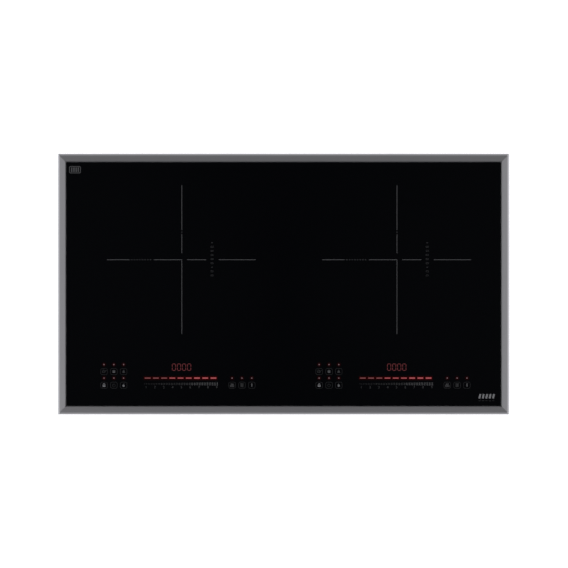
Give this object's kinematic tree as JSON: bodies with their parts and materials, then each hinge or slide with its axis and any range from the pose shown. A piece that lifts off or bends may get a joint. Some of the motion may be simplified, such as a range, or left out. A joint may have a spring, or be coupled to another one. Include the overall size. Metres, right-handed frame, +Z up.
{
  "type": "built-in induction cooktop",
  "caption": "Framed black-glass induction cooktop for a worktop cut-out, with cooking zones side by side, touch controls at the front and a sheet-steel tray below.",
  "frame": {"origin": "under the middle of the cooktop, on the plane that the base tray stands on", "axes": "+Z up through the glass, +X to the cook's right, -Y towards the cook and the touch controls"},
  "size_m": [0.73, 0.422, 0.078],
  "materials": {
    "frame": "satin grey anodised metal",
    "black_glass": "polished opaque black glass-ceramic",
    "seal": "closed-cell foam strip",
    "tray": "pressed sheet steel, satin black powder coat",
    "dark_plastic": "moulded, fine texture",
    "light_plastic": "moulded, off-white",
    "circuit_board": "solder-masked fibreglass board",
    "mica": "pressed mica sheet",
    "copper": "varnished stranded copper",
    "carrier_plastic": "heat-resistant moulding",
    "silicone": "white silicone pad on a plastic stem",
    "spring_steel": "drawn wire",
    "aluminium": "mill finish",
    "device_plastic": "epoxy moulding",
    "capacitor": "potted film capacitor box",
    "ferrite": "sintered ferrite ring",
    "zinc_steel": "bright zinc plated"
  },
  "bodies": {
    "housing": {"frame_rail_front": "frame", "frame_rail_rear": "frame", "frame_rail_left": "frame", "frame_rail_right": "frame", "glass_plate": "black_glass", "worktop_seal": "seal", "base_tray": "tray", "cable_gland": "dark_plastic", "terminal_block": "light_plastic", "mains_filter_board": "circuit_board", "coil_support_left": "aluminium", "coil_spring_left_1": "spring_steel", "coil_spring_left_2": "spring_steel", "coil_spring_left_3": "spring_steel", "fan_frame_left": "dark_plastic", "power_board_left": "circuit_board", "heat_sink_left": "aluminium", "power_transistor_left": "device_plastic", "bridge_rectifier_left": "device_plastic", "resonance_capacitor_left": "capacitor", "smoothing_capacitor_left": "capacitor", "filter_choke_left": "ferrite", "control_tray_left": "dark_plastic", "control_board_left": "circuit_board", "display_block_left": "light_plastic", "coil_support_right": "aluminium", "coil_spring_right_1": "spring_steel", "coil_spring_right_2": "spring_steel", "coil_spring_right_3": "spring_steel", "fan_frame_right": "dark_plastic", "power_board_right": "circuit_board", "heat_sink_right": "aluminium", "power_transistor_right": "device_plastic", "bridge_rectifier_right": "device_plastic", "resonance_capacitor_right": "capacitor", "smoothing_capacitor_right": "capacitor", "filter_choke_right": "ferrite", "control_tray_right": "dark_plastic", "control_board_right": "circuit_board", "display_block_right": "light_plastic"},
    "coil_left": {"mica_disc_left": "mica", "coil_winding_left": "copper", "coil_carrier_left": "carrier_plastic", "sensor_spring_left": "spring_steel"},
    "sensor_left": {"heat_sensor_left": "silicone"},
    "fan_left": {"fan_rotor_left": "dark_plastic"},
    "coil_right": {"mica_disc_right": "mica", "coil_winding_right": "copper", "coil_carrier_right": "carrier_plastic", "sensor_spring_right": "spring_steel"},
    "sensor_right": {"heat_sensor_right": "silicone"},
    "fan_right": {"fan_rotor_right": "dark_plastic"},
    "clamp_screw_body_front_left": {"clamp_screw_front_left": "zinc_steel"},
    "clamp_body_front_left": {"swing_clamp_front_left": "zinc_steel"},
    "clamp_screw_body_front_right": {"clamp_screw_front_right": "zinc_steel"},
    "clamp_body_front_right": {"swing_clamp_front_right": "zinc_steel"},
    "clamp_screw_body_rear_left": {"clamp_screw_rear_left": "zinc_steel"},
    "clamp_body_rear_left": {"swing_clamp_rear_left": "zinc_steel"},
    "clamp_screw_body_rear_right": {"clamp_screw_rear_right": "zinc_steel"},
    "clamp_body_rear_right": {"swing_clamp_rear_right": "zinc_steel"}
  },
  "joints": [
    {"name": "coil_slide_left", "type": "slide", "parent": "housing", "child": "coil_left", "axis": [0, 0, 1], "range_m": [-0.004, 0], "stiffness_N_per_m": 4500, "springref_m": 0.006, "deforming": ["coil_spring_left_1", "coil_spring_left_2", "coil_spring_left_3"]},
    {"name": "sensor_slide_left", "type": "slide", "parent": "coil_left", "child": "sensor_left", "axis": [0, 0, 1], "range_m": [-0.002, 0], "stiffness_N_per_m": 300, "springref_m": 0.002, "deforming": ["sensor_spring_left"]},
    {"name": "fan_spin_left", "type": "hinge", "parent": "housing", "child": "fan_left", "pos_m": [-0.25395, 0.07, 0.0128], "axis": [0, 0, 1], "continuous": true},
    {"name": "coil_slide_right", "type": "slide", "parent": "housing", "child": "coil_right", "axis": [0, 0, 1], "range_m": [-0.004, 0], "stiffness_N_per_m": 4500, "springref_m": 0.006, "deforming": ["coil_spring_right_1", "coil_spring_right_2", "coil_spring_right_3"]},
    {"name": "sensor_slide_right", "type": "slide", "parent": "coil_right", "child": "sensor_right", "axis": [0, 0, 1], "range_m": [-0.002, 0], "stiffness_N_per_m": 300, "springref_m": 0.002, "deforming": ["sensor_spring_right"]},
    {"name": "fan_spin_right", "type": "hinge", "parent": "housing", "child": "fan_right", "pos_m": [0.09275, 0.07, 0.0128], "axis": [0, 0, 1], "continuous": true},
    {"name": "clamp_swing_front_left", "type": "hinge", "parent": "housing", "child": "clamp_screw_body_front_left", "pos_m": [-0.339, -0.11, 0.0238], "axis": [0, 0, -1], "range_deg": [0, 90]},
    {"name": "clamp_lift_front_left", "type": "slide", "parent": "clamp_screw_body_front_left", "child": "clamp_body_front_left", "axis": [0, 0, 1], "range_m": [0, 0.022]},
    {"name": "clamp_swing_front_right", "type": "hinge", "parent": "housing", "child": "clamp_screw_body_front_right", "pos_m": [0.339, -0.11, 0.0238], "axis": [0, 0, 1], "range_deg": [0, 90]},
    {"name": "clamp_lift_front_right", "type": "slide", "parent": "clamp_screw_body_front_right", "child": "clamp_body_front_right", "axis": [0, 0, 1], "range_m": [0, 0.022]},
    {"name": "clamp_swing_rear_left", "type": "hinge", "parent": "housing", "child": "clamp_screw_body_rear_left", "pos_m": [-0.339, 0.11, 0.0238], "axis": [0, 0, -1], "range_deg": [0, 90]},
    {"name": "clamp_lift_rear_left", "type": "slide", "parent": "clamp_screw_body_rear_left", "child": "clamp_body_rear_left", "axis": [0, 0, 1], "range_m": [0, 0.022]},
    {"name": "clamp_swing_rear_right", "type": "hinge", "parent": "housing", "child": "clamp_screw_body_rear_right", "pos_m": [0.339, 0.11, 0.0238], "axis": [0, 0, 1], "range_deg": [0, 90]},
    {"name": "clamp_lift_rear_right", "type": "slide", "parent": "clamp_screw_body_rear_right", "child": "clamp_body_rear_right", "axis": [0, 0, 1], "range_m": [0, 0.022]}
  ]
}
